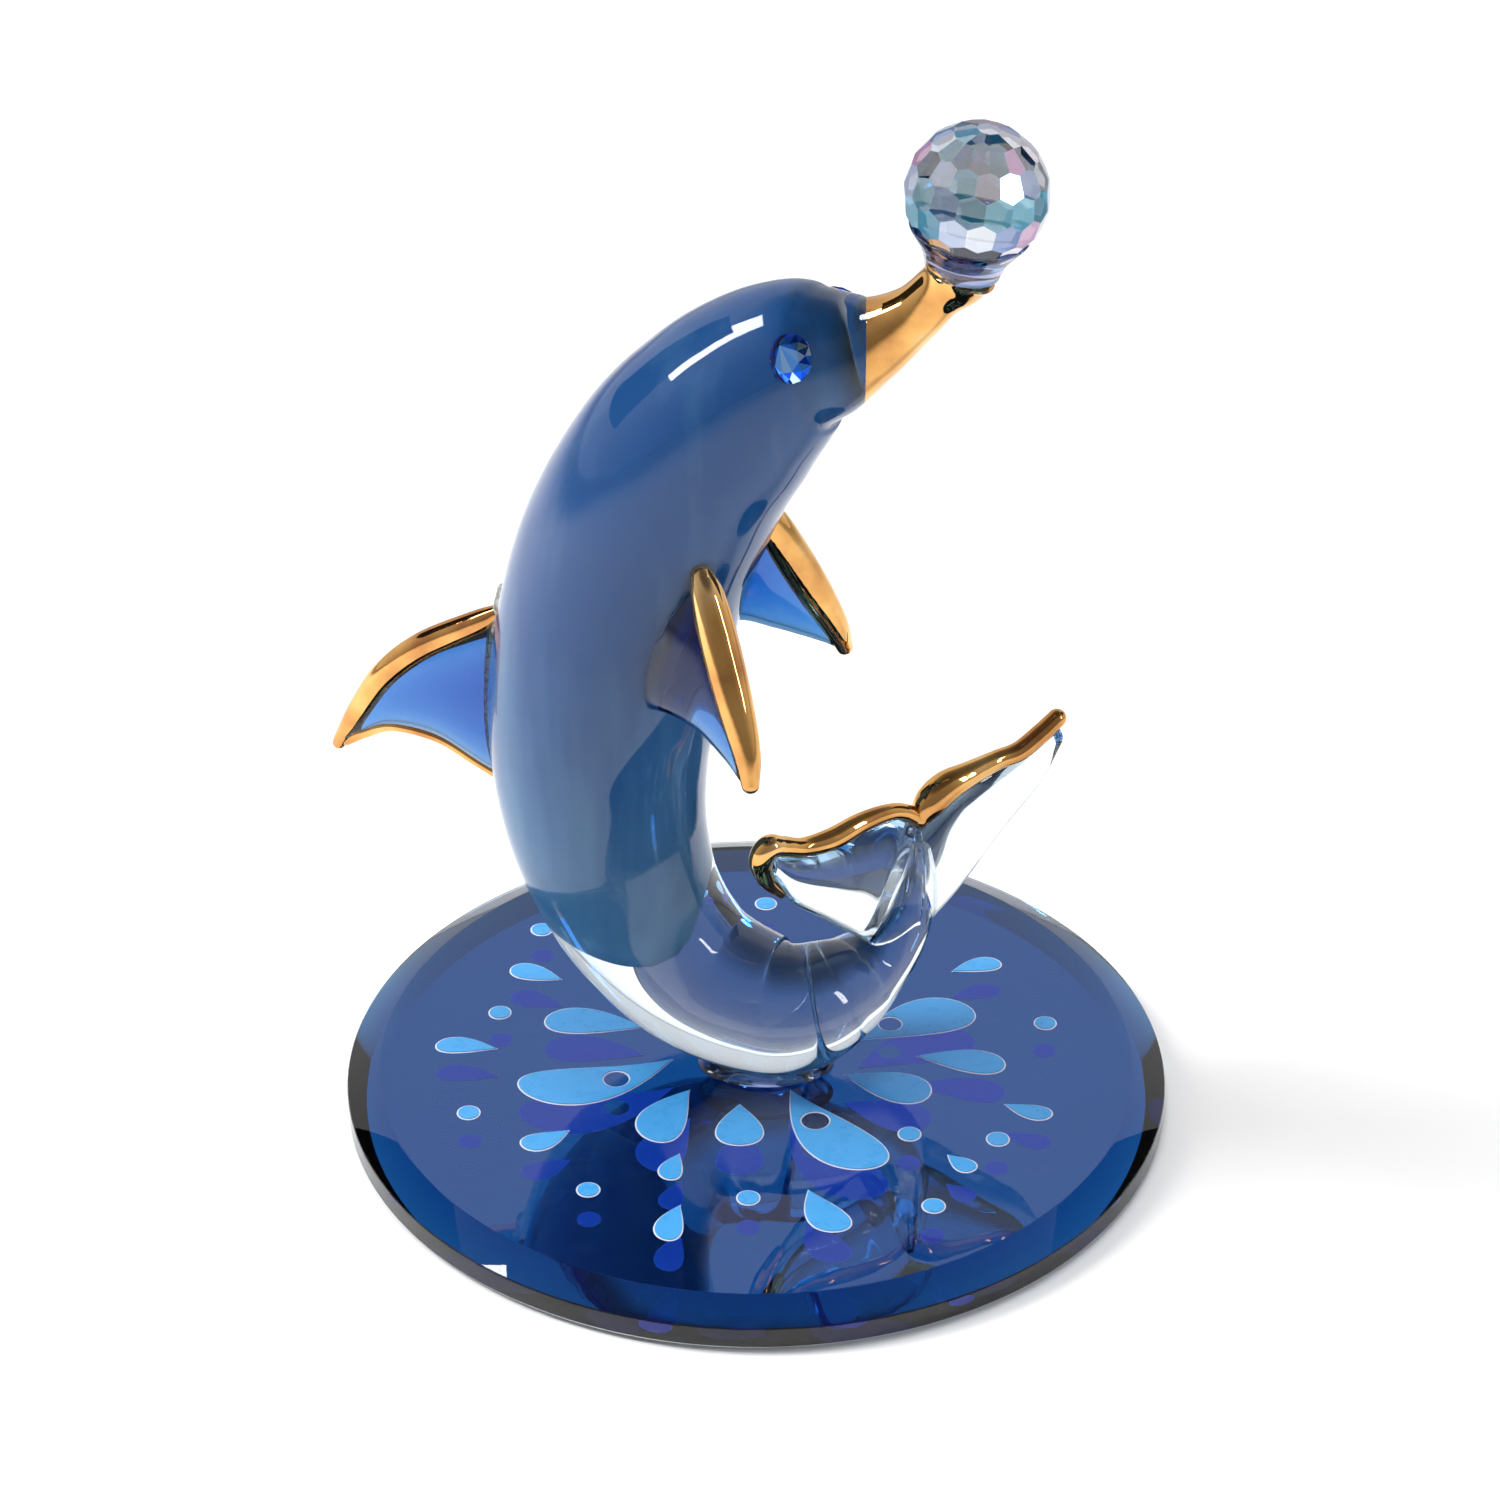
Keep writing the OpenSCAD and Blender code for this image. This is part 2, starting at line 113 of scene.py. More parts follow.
# Centre lines of the rolled edges: forward, left, height, radius
DORSAL_ROLL_UPPER = [
    (-25.3, 0, 47.2, 0.8), (-27.3, 0, 45.8, 1.15), (-32.6, 0, 42.4, 1.3), (-36.4, 0, 38.8, 1.3),
    (-39.1, 0, 34.7, 1.15), (-41.1, 0, 31.2, 0.8), (-41.7, 0, 30.1, 0.65),
]
DORSAL_ROLL_LOWER = [
    (-25.6, 0, 30, 0.5), (-28, 0, 31.1, 0.5), (-31.6, 0, 32.8, 0.55), (-36, 0, 33.1, 0.55),
    (-39, 0, 31.8, 0.6), (-40.9, 0, 30.6, 0.6),
]
FLIPPER_ROLL = [
    (-3.4, 6.7, 59.4, 1), (-2.4, 7.5, 57.4, 1.5), (-0.9, 8.7, 53.8, 1.7), (1, 10.2, 49.2, 1.6),
    (2.6, 11.5, 45.2, 1.2), (3.2, 12.3, 42.7, 0.8),
]
FLUKE_RIGHT_ROLL = [
    (11.4, 9.1, 28.1, 0.85), (10.5, 8.1, 29.1, 0.8), (9.4, 6.8, 29.6, 0.8), (7.6, 4.5, 29.5, 0.95),
    (5.7, 1.9, 28.9, 1.05), (3.8, -0.3, 29, 0.9), (2.4, -2, 29.8, 1), (1.5, -3, 30.1, 1.15),
    (0.9, -3.3, 28.6, 1.1), (1.2, -2.7, 26.4, 0.8), (2.1, -1.3, 24.3, 0.5),
]
FLUKE_LEFT_ROLL = [
    (11.6, 9.3, 28, 1), (12.3, 10.3, 29.3, 1.5), (13.4, 11.6, 30.4, 1.5), (14.9, 13.3, 31, 1.2),
    (16.8, 15.7, 31.5, 0.95), (18.4, 17.4, 31.8, 0.95), (19.9, 19.1, 33, 0.95), (21, 20.5, 34.1, 0.9),
]
DORSAL_WELD = [
    (-24.7, 0, 49.8, 0.5), (-25.1, 0, 46, 0.9), (-25.5, 0, 40, 1), (-25.6, 0, 34, 0.9),
    (-25, 0, 28.6, 0.5),
]

BALL_AT, BALL_AXIS = (18, 0, 94.8), (1, 0, 6.8)
EYE_AT, EYE_OUT = (4.2, 5.4, 80.2), (-0.24, 0.89, 0.38)

# Splash drops: round end x, y, tail x, y, width, bow of the middle to its left
PETALS = [
    (-21.8, -5.2, -7.8, -1, 5.5, -1.7), (11.1, -17, 3.2, -5.8, 5.8, 1.2),
    (20.4, 6.8, 9.6, 2, 5.5, -0.9), (-19.8, 5.1, -10.6, 4, 3.9, 0.4),
    (15.9, -6.4, 8.2, -3.4, 4.3, 0), (23, -2, 15, -0.5, 3.4, -0.2), (-9.2, -13.4, -6.1, -5.8, 4.4, 0.6),
    (-1.5, -14, -1.5, -8, 4.2, 0), (7.7, -26.2, 4.7, -20.6, 3.3, 0.5), (-29.8, 1.1, -24.2, 0.6, 2.3, 0.3),
    (-23.4, 13.6, -18.6, 11.8, 2.4, 0.1), (-21.1, -14.1, -17, -11.9, 2.4, -0.3),
    (23.4, 14.6, 18.8, 13.2, 2.1, -0.3), (26.9, -9.5, 22.8, -7.9, 2, 0.2),
    (-7.8, -27.6, -6.7, -22.8, 2.4, 0.3), (-7.8, -19, -6.9, -15.4, 2, 0.2),
    (19.5, -17.6, 17.3, -15.5, 1.8, 0.1),
]
WINDOWS = [(-12.9, -4.1, 1.3), (5.4, -10.4, 1.4), (12.6, 4.6, 1.2)]
# Round dots: radius, angle
DOTS = [
    (27.6, 10), (18.6, -41.6), (25.5, -30.9), (27.7, -55.4), (25.4, -126), (21.7, -91.8),
    (27.8, -160.6), (25, 165.2), (29, 135.9), (24.7, 87.8),
]


# Curves and meshes, all in millimetres until a mesh is made

def place(p):
    """From the dolphin's frame to the row's frame."""
    c, s = math.cos(HEADING), math.sin(HEADING)
    return Vector((FOOT.x + p[0] * c - p[1] * s, FOOT.y + p[0] * s + p[1] * c, p[2]))


def curve(points, t):
    """Catmull-Rom curve through the points, t from 0 to 1."""
    rows = [Vector(p) for p in points]
    last = len(rows) - 1
    k = min(int(t * last), last - 1)
    u = t * last - k
    b, c = rows[k], rows[k + 1]
    a = rows[k - 1] if k > 0 else 2 * b - c
    d = rows[k + 2] if k + 2 <= last else 2 * c - b
    return 0.5 * (2 * b + (c - a) * u + (2 * a - 5 * b + 4 * c - d) * u * u
                  + (3 * b - a - 3 * c + d) * u ** 3)


def mirrored(points):
    """The same points on the dolphin's other side."""
    return [(p[0], -p[1], *p[2:]) for p in points]


def mesh_piece(name, vertices, faces, smooth=True):
    """A mesh in metres, its doubles merged and its faces turned outwards."""
    mesh = bpy.data.meshes.new(name)
    mesh.from_pydata([Vector(v) * MM for v in vertices], [], faces)
    shape = bmesh.new()
    shape.from_mesh(mesh)
    bmesh.ops.remove_doubles(shape, verts=shape.verts, dist=1e-7)
    bmesh.ops.recalc_face_normals(shape, faces=shape.faces)
    for face in shape.faces:
        face.smooth = smooth
    shape.to_mesh(mesh)
    shape.free()
    piece = bpy.data.objects.new(name, mesh)
    bpy.context.scene.collection.objects.link(piece)
    return piece


def skin(name, rings):
    """A closed skin over equal rings."""
    sides, count = len(rings[0]), len(rings)
    faces = [tuple(range(sides)), tuple((count - 1) * sides + j for j in range(sides))]
    for i in range(count - 1):
        for j in range(sides):
            a, b = i * sides + j, i * sides + (j + 1) % sides
            faces.append((a, a + sides, b + sides, b))
    return mesh_piece(name, [p for ring in rings for p in ring], faces)


def ring(line, i, sides):
    """A ring of points round one place of a line of (x, y, z, radius)."""
    along = (line[min(i + 1, len(line) - 1)].xyz - line[max(i - 1, 0)].xyz).normalized()
    side = Vector((0, 1, 0)) - along * along.y
    side = side.normalized() if side.length > 1e-4 else Vector((1, 0, 0))
    up = along.cross(side)
    centre, radius = line[i].xyz, line[i].w
    return [place(centre + radius * (math.cos(w) * side + math.sin(w) * up))
            for w in (2 * math.pi * j / sides for j in range(sides))]


def bar(name, points, rings, sides, grow=0.0):
    """A round bar along a curve."""
    line = [curve(points, i / rings) for i in range(rings + 1)]
    line = [Vector((*p.xyz, p.w + grow)) for p in line]
    return skin(name, [ring(line, i, sides) for i in range(rings + 1)])


def blade(name, edges, half_root, half_tip, rings, sides):
    """A fin blade between two edges, with an oval section that thins towards its tip."""
    lower, upper = edges
    rows = [(curve(lower, i / rings), curve(upper, i / rings)) for i in range(rings + 1)]
    middles = [(a + b) / 2 for a, b in rows]
    found = []
    for i, (a, b) in enumerate(rows):
        t = i / rings
        reach = (b - a) / 2
        along = middles[min(i + 1, rings)] - middles[max(i - 1, 0)]
        thick = along.cross(reach).normalized() * (half_root * (1 - t) + half_tip * t)
        found.append([place(middles[i] + math.cos(w) * reach + math.sin(w) * thick)
                      for w in (2 * math.pi * j / sides for j in range(sides))])
    return skin(name, found)


def lathe(name, profile, sides):
    """A turned shape from a profile of (radius, height) that starts and ends on the axis."""
    rings = [[Vector((r * math.cos(w), r * math.sin(w), z))
              for w in (2 * math.pi * j / sides for j in range(sides))]
             for r, z in profile]
    return skin(name, rings)


def stand(piece, at, out):
    """Turns a piece's +Z to a direction in the dolphin's frame, at a point there."""
    direction = place(out) - place((0, 0, 0))
    turn = direction.to_track_quat("Z", "Y").to_matrix().to_4x4()
    piece.data.transform(Matrix.Translation(place(at) * MM) @ turn)
    return piece


def combine(piece, other, operation):
    """The exact difference or intersection of two closed pieces. The other piece is used up."""
    step = piece.modifiers.new("Cut", "BOOLEAN")
    step.object = other
    step.operation = operation
    step.solver = "EXACT"
    return settle(piece, other)


def settle(piece, *used):
    """Turns a piece with modifiers into a plain mesh."""
    seen = piece.evaluated_get(bpy.context.evaluated_depsgraph_get())
    mesh = bpy.data.meshes.new_from_object(seen)
    piece.modifiers.clear()
    piece.data = mesh
    mesh.name = piece.name
    for extra in used:
        bpy.data.objects.remove(extra)
    if not mesh.polygons:
        raise RuntimeError(f"{piece.name} came out empty")
    return piece


def crease(piece, degrees):
    """Keeps edges sharper than an angle crisp under smooth shading."""
    piece.data.set_sharp_from_angle(angle=math.radians(degrees))
    return piece


def block(x_low, z_low):
    """A large block that starts at an upright plane and above a height."""
    far = 60
    corners = [(x, y, z) for x in (x_low, far) for y in (-far, far) for z in (z_low, 2 * far)]
    faces = [(0, 1, 3, 2), (4, 6, 7, 5), (0, 4, 5, 1), (2, 3, 7, 6), (0, 2, 6, 4), (1, 5, 7, 3)]
    return mesh_piece("block", corners, faces, smooth=False)


def body_form(name, grow=0.0):
    """The whole beak and body as one solid, its radius grown or shrunk."""
    return bar(name, SPINE, 200, 72, grow)


def install(piece, material, *nodes):
    """Gives a finished piece its material and stands it in for its CAD nodes."""
    piece.data.materials.clear()
    piece.data.materials.append(material)
    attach(piece, BODY)
    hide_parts(*nodes)
    return piece


# Shader maths

class Socket:
    """A shader value that takes part in arithmetic."""

    def __init__(self, tree, source):
        self.tree, self.source = tree, source

    def math(self, operation, other, flipped=False):
        values = [other, self] if flipped else [self, other]
        return self.tree.add("ShaderNodeMath", {"operation": operation}, values)

    def __add__(self, other):
        return self.math("ADD", other)

    def __radd__(self, other):
        return self.math("ADD", other, True)

    def __sub__(self, other):
        return self.math("SUBTRACT", other)

    def __rsub__(self, other):
        return self.math("SUBTRACT", other, True)

    def __mul__(self, other):
        return self.math("MULTIPLY", other)

    def __rmul__(self, other):
        return self.math("MULTIPLY", other, True)


class Finish:
    """One material and its nodes."""

    def __init__(self, name):
        self.material = bpy.data.materials.new(name)
        self.material.use_nodes = True
        self.nodes = self.material.node_tree.nodes
        self.links = self.material.node_tree.links
        self.nodes.clear()
        self.out = self.nodes.new("ShaderNodeOutputMaterial")

    def add(self, kind, settings=None, inputs=None, output=0):
        """Makes a node from its type, its settings and the values or links of its sockets."""
        node = self.nodes.new(kind)
        for key, value in (settings or {}).items():
            if key == "stops":
                self.set_stops(node.color_ramp, value)
            else:
                setattr(node, key, value)
        pairs = enumerate(inputs) if isinstance(inputs, list) else (inputs or {}).items()
        for key, value in pairs:
            if isinstance(value, Socket):
                self.links.new(value.source, node.inputs[key])
            else:
                node.inputs[key].default_value = value
        return Socket(self, node.outputs[output])

    @staticmethod
    def set_stops(ramp, stops):
        while len(ramp.elements) < len(stops):
            ramp.elements.new(1)
        for element, (position, colour) in zip(ramp.elements, stops):
            element.position = position
            element.color = colour

    def places(self, stretch=(1, 1, 1)):
        """Object coordinates, stretched."""
        where = self.add("ShaderNodeTexCoord", output=3)
        return self.add("ShaderNodeMapping", {}, {"Vector": where, "Scale": stretch})

    def noise(self, scale, detail=3.0, stretch=(1, 1, 1)):
        return self.add("ShaderNodeTexNoise", {},
                        {"Vector": self.places(stretch), "Scale": scale, "Detail": detail})

    def ramp(self, factor, stops):
        return self.add("ShaderNodeValToRGB", {"stops": stops}, {0: factor})

    def bump(self, height, strength, distance):
        return self.add("ShaderNodeBump", {},
                        {"Height": height, "Strength": strength, "Distance": distance})

    def surface(self, **inputs):
        named = {key.replace("_", " "): value for key, value in inputs.items()}
        return self.add("ShaderNodeBsdfPrincipled", {}, named)

    def done(self, shader, volume=None):
        self.links.new(shader.source, self.out.inputs["Surface"])
        if volume:
            self.links.new(volume.source, self.out.inputs["Volume"])
        return self.material


def absorbing(finish, passes):
    """Plain absorption that lets (red, green, blue) shares through each millimetre."""
    loss = [-math.log(share) / MM for share in passes]
    density = max(loss) * 1.02
    colour = (*(1 - value / density for value in loss), 1)
    return finish.add("ShaderNodeVolumeAbsorption", {}, {"Color": colour, "Density": density})


def clear_glass(name, passes, ripple=0.02, ior=1.5):
    """Flame-worked glass: faint drawn ripples, and a tint that deepens with its thickness."""
    finish = Finish(name)
    drawn = finish.noise(140, 2, (1, 1, 0.35))
    smears = finish.noise(420, 2)
    shader = finish.surface(
        Base_Color=(1, 1, 1, 1), Transmission_Weight=1.0, IOR=ior,
        Roughness=finish.ramp(smears, [(0.45, (0, 0, 0, 1)), (0.9, (0.012, 0.012, 0.012, 1))]),
        Normal=finish.bump(drawn, ripple, 0.0012))
    return finish.done(shader, absorbing(finish, passes))


def core_glass(colours):
    """Milky blue rod: fine upright striae and soft clouds, and paler towards its lower end."""
    finish = Finish("core_blue")
    deep, pale = (*colours.core, 1), (*colours.core_streak, 1)
    striae = finish.noise(260, 4, (1, 1, 0.12))
    clouds = finish.noise(45, 2)
    low = finish.add("ShaderNodeSeparateXYZ", {}, {0: finish.places()}, 2)
    paler = finish.add("ShaderNodeMapRange", {"clamp": True},
                       {0: low, 1: PALE_FROM, 2: PALE_TO, 3: 0.0, 4: 0.5})
    shade = striae * 0.7 + clouds * 0.25 + paler - 0.3
    tone = finish.ramp(shade, [(0.2, deep), (0.95, pale)])
    shader = finish.surface(
        Base_Color=tone, Roughness=0.35, Specular_IOR_Level=0.1,
        Normal=finish.bump(striae, 0.1, 0.0004))
    return finish.done(shader)


def fired_gold(colours):
    """Gold lustre fired on glass: mirror bright, thinner and redder in places."""
    finish = Finish("fired_gold")
    thin = finish.noise(160, 4)
    grain = finish.noise(900, 2)
    tone = finish.ramp(thin, [(0.3, (*colours.gold_thin, 1)), (0.55, (*colours.gold, 1)),
                              (0.8, (*colours.gold_pale, 1))])
    shader = finish.surface(
        Base_Color=tone, Metallic=1.0,
        Roughness=finish.ramp(grain, [(0.3, (0.02, 0.02, 0.02, 1)), (0.9, (0.09, 0.09, 0.09, 1))]),
        Normal=finish.bump(thin, 0.12, 0.0006))
    return finish.done(shader)


def enamel(name, colour, lighter, glow=0.0):
    """Screen-printed enamel with faint mottling. A glow on its underside stands for light let through."""
    finish = Finish(name)
    mottle = finish.noise(900, 3)
    tone = finish.ramp(mottle, [(0.3, (*colour, 1)), (0.8, (*lighter, 1))])
    rough = finish.ramp(mottle, [(0.2, (0.22, 0.22, 0.22, 1)), (0.9, (0.4, 0.4, 0.4, 1))])
    upward = finish.add("ShaderNodeSeparateXYZ", {},
                        {0: finish.add("ShaderNodeNewGeometry", {}, None, 1)}, 2)
    below = finish.ramp(upward * -1, [(0.4, (0, 0, 0, 1)), (0.6, (0.75, 0.45, 1, 1))])
    face = finish.surface(Base_Color=tone, Roughness=rough, Coat_Weight=0.4,
                          Emission_Color=below, Emission_Strength=glow,
                          Normal=finish.bump(mottle, 0.08, 0.0001))
    through = finish.add("ShaderNodeBsdfTranslucent", {}, {"Color": (*lighter, 1)})
    return finish.done(finish.add("ShaderNodeMixShader", {}, {0: 0.35, 1: face, 2: through}))


def silvering():
    """Mirror silver, a little dulled in places."""
    finish = Finish("silvering")
    tarnish = finish.noise(60, 4)
    tone = finish.ramp(tarnish, [(0.3, (0.86, 0.88, 0.92, 1)), (0.8, (0.95, 0.96, 0.98, 1))])
    shader = finish.surface(
        Base_Color=tone, Metallic=1.0,
        Roughness=finish.ramp(tarnish, [(0.4, (0.0, 0.0, 0.0, 1)), (1, (0.03, 0.03, 0.03, 1))]))
    return finish.done(shader)


def backing():
    """Brushed black backing paint."""
    finish = Finish("backing")
    strokes = finish.noise(220, 3, (0.2, 1, 1))
    tone = finish.ramp(strokes, [(0.3, (0.012, 0.012, 0.016, 1)), (0.8, (0.04, 0.04, 0.05, 1))])
    shader = finish.surface(Base_Color=tone, Roughness=0.5, Normal=finish.bump(strokes, 0.3, 0.0001))
    return finish.done(shader)


def cut_stone(name, stops, see_through, ior):
    """Cut crystal: each facet has its own tone from the piece's facet attribute; these tones are painted
    reflections, the bright and dark facets that light would make.
    """
    finish = Finish(name)
    facet = finish.add("ShaderNodeAttribute", {"attribute_name": "facet"}, None, 2)
    tone = finish.ramp(facet, stops)
    clear = finish.surface(Base_Color=(0.97, 0.98, 1, 1), Transmission_Weight=1.0, IOR=ior,
                           Roughness=0.0)
    # A mirror-like layer in the facet tones: painted reflections and glints, fixed whatever the lamps do
    coat = finish.surface(Base_Color=tone, Metallic=1.0, Roughness=0.04)
    mixed = finish.add("ShaderNodeMixShader", {}, {0: 1 - see_through, 1: clear, 2: coat})
    return finish.done(mixed)


def facet_tones(piece, seed):
    """Stores one steady pseudo-random number per facet, the fraction of a large sine wave."""
    scatter, height = (127.1, 311.7, 74.7), 43758.5453
    layer = piece.data.attributes.new("facet", "FLOAT", "FACE")
    for polygon in piece.data.polygons:
        x, y, z = polygon.normal
        wave = math.sin(x * scatter[0] + y * scatter[1] + z * scatter[2] + seed) * height
        layer.data[polygon.index].value = wave - math.floor(wave)
    return piece


# Geometry Nodes

def field_tree(name, inputs):
    """A Geometry Nodes tree with named inputs: (name, socket type, default)."""
    tree = bpy.data.node_groups.new(name, "GeometryNodeTree")
    tree.interface.new_socket("Geometry", in_out="INPUT", socket_type="NodeSocketGeometry")
    for label, kind, default in inputs:
        socket = tree.interface.new_socket(label, in_out="INPUT", socket_type=kind)
        if default is not None:
            socket.default_value = default
    tree.interface.new_socket("Geometry", in_out="OUTPUT", socket_type="NodeSocketGeometry")
    return tree, tree.nodes.new("NodeGroupInput"), tree.nodes.new("NodeGroupOutput")


def run_tree(piece, tree, **values):
    """Runs a tree on a piece with inputs set by their identifiers, and keeps the plain mesh."""
    step = piece.modifiers.new(tree.name, "NODES")
    step.node_group = tree
    for item in tree.interface.items_tree:
        if item.item_type == "SOCKET" and item.in_out == "INPUT" and item.name in values:
            step[item.identifier] = values[item.name]
    return settle(piece)


def dots_tree():
    """Round printed dots on points."""
    tree, start, end = field_tree("Printed Dots", [
        ("Radius", "NodeSocketFloat", 0.00095), ("Thickness", "NodeSocketFloat", 0.0001),
        ("Finish", "NodeSocketMaterial", None)])
    add, join = tree.nodes.new, tree.links.new
    disc, instance = add("GeometryNodeMeshCylinder"), add("GeometryNodeInstanceOnPoints")
    real, painted = add("GeometryNodeRealizeInstances"), add("GeometryNodeSetMaterial")
    disc.inputs["Vertices"].default_value = 40
    join(start.outputs["Radius"], disc.inputs["Radius"])
    join(start.outputs["Thickness"], disc.inputs["Depth"])
    join(start.outputs["Geometry"], instance.inputs["Points"])
    join(disc.outputs["Mesh"], instance.inputs["Instance"])
    join(instance.outputs["Instances"], real.inputs["Geometry"])
    join(real.outputs["Geometry"], painted.inputs["Geometry"])
    join(start.outputs["Finish"], painted.inputs["Material"])
    join(painted.outputs["Geometry"], end.inputs["Geometry"])
    return tree


def roll_tree():
    """A rolled edge of changing radius along a line."""
    tree, start, end = field_tree("Rolled Edge", [
        ("Sides", "NodeSocketInt", 32), ("Finish", "NodeSocketMaterial", None)])
    add, join = tree.nodes.new, tree.links.new
    path = add("GeometryNodeMeshToCurve")
    named, circle = add("GeometryNodeInputNamedAttribute"), add("GeometryNodeCurvePrimitiveCircle")
    tube, shade = add("GeometryNodeCurveToMesh"), add("GeometryNodeSetShadeSmooth")
    real, painted = add("GeometryNodeRealizeInstances"), add("GeometryNodeSetMaterial")
    named.data_type = "FLOAT"
    named.inputs["Name"].default_value = "width"
    circle.inputs["Radius"].default_value = 1.0
    tube.inputs["Fill Caps"].default_value = True
    join(start.outputs["Geometry"], path.inputs["Mesh"])
    join(named.outputs["Attribute"], tube.inputs["Scale"])
    join(start.outputs["Sides"], circle.inputs["Resolution"])
    join(path.outputs["Curve"], tube.inputs["Curve"])
    join(circle.outputs["Curve"], tube.inputs["Profile Curve"])
    join(tube.outputs["Mesh"], shade.inputs["Geometry"])
    join(shade.outputs["Geometry"], real.inputs["Geometry"])
    join(real.outputs["Geometry"], painted.inputs["Geometry"])
    join(start.outputs["Finish"], painted.inputs["Material"])
    join(painted.outputs["Geometry"], end.inputs["Geometry"])
    return tree


def rolled_edge(name, points, scale, rings, material):
    """A round roll with domed ends, swept by the Rolled Edge tree."""
    line = [curve(points, i / rings) for i in range(rings + 1)]
    line = [Vector((*p.xyz, p.w * scale)) for p in line]
    first, last = line[0], line[-1]
    steps = [math.radians(w) for w in (15, 30, 45, 60, 72, 82, 87)]
    head_way = (first.xyz - line[1].xyz).normalized()
    tail_way = (last.xyz - line[-2].xyz).normalized()
    head = [Vector((*(first.xyz + head_way * first.w * math.sin(w)), first.w * math.cos(w)))
            for w in reversed(steps)]
    tail = [Vector((*(last.xyz + tail_way * last.w * math.sin(w)), last.w * math.cos(w)))
            for w in steps]
    line = head + line + tail
    mesh = bpy.data.meshes.new(name)
    mesh.from_pydata([place(p.xyz) * MM for p in line], [(i, i + 1) for i in range(len(line) - 1)], [])
    layer = mesh.attributes.new("width", "FLOAT", "POINT")
    layer.data.foreach_set("value", [p.w * MM for p in line])
    piece = bpy.data.objects.new(name, mesh)
    bpy.context.scene.collection.objects.link(piece)
    return run_tree(piece, bpy.data.node_groups["Rolled Edge"], Sides=32, Finish=material)


# Properties

class FigurineSizes(bpy.types.PropertyGroup):
    """Sizes that a maker would change."""

    rim_soften: FloatProperty(name="Rim softening", description="Width of the ground edge of the bevel",
                              default=0.15 * MM, unit="LENGTH", precision=5)
    enamel_edge: FloatProperty(name="White edge", description="How far the underprint shows",
                               default=0.14 * MM, unit="LENGTH", precision=5)
    dot_radius: FloatProperty(name="Dot radius", description="Radius of the printed dots",
                              default=0.95 * MM, unit="LENGTH", precision=5)
    ball_facets: IntProperty(name="Ball facets", description="Facets round the ball's equator",
                             default=16, min=8, max=24)
    core_share: FloatProperty(name="Core share", description="Core radius as a share of the body's",
                              default=0.9, min=0.5, max=0.95)


class FigurineColours(bpy.types.PropertyGroup):
    """Colours of the glass, the gold and the print."""

    core: FloatVectorProperty(name="Core", description="Deep blue of the core", subtype="COLOR",
                              default=(0.014, 0.125, 0.4))
    core_streak: FloatVectorProperty(name="Core streak", description="Paler lower end", subtype="COLOR",
                                     default=(0.18, 0.44, 0.7))
    gold: FloatVectorProperty(name="Gold", description="Body of the lustre", subtype="COLOR",
                              default=(0.78, 0.42, 0.13))
    gold_thin: FloatVectorProperty(name="Thin gold", description="Where the lustre is thin",
                                   subtype="COLOR", default=(0.48, 0.2, 0.07))
    gold_pale: FloatVectorProperty(name="Pale gold", description="Where the lustre is thick",
                                   subtype="COLOR", default=(0.92, 0.64, 0.32))
    print_blue: FloatVectorProperty(name="Print blue", description="Blue enamel", subtype="COLOR",
                                    default=(0.07, 0.41, 0.76))
    base_passes: FloatVectorProperty(name="Base passes", description="Light let through each mm",
                                     subtype="COLOR", default=(0.535, 0.74, 0.875))


# Operators

def sizes():
    return bpy.context.scene.figurine_sizes


def colours():
    return bpy.context.scene.figurine_colours


FINISHES = {}


def shared(name, make):
    """A material that several pieces share, made the first time it is asked for.

    The frame's own materials have some of these names, so these are kept apart from them.
    """
    if name not in FINISHES:
        FINISHES[name] = make()
    return FINISHES[name]


def glass_for_body():
    return shared("clear_glass", lambda: clear_glass("clear_glass", (0.985, 0.992, 0.997)))


def glass_for_fins():
    return shared("fin_glass", lambda: clear_glass("fin_glass", (0.28, 0.5, 0.76), 0.08))


def glass_for_joints():
    return shared("cement", lambda: clear_glass("cement", (0.9, 0.92, 0.985), 0.12, 1.48))


def gold():
    return shared("fired_gold", lambda: fired_gold(colours()))


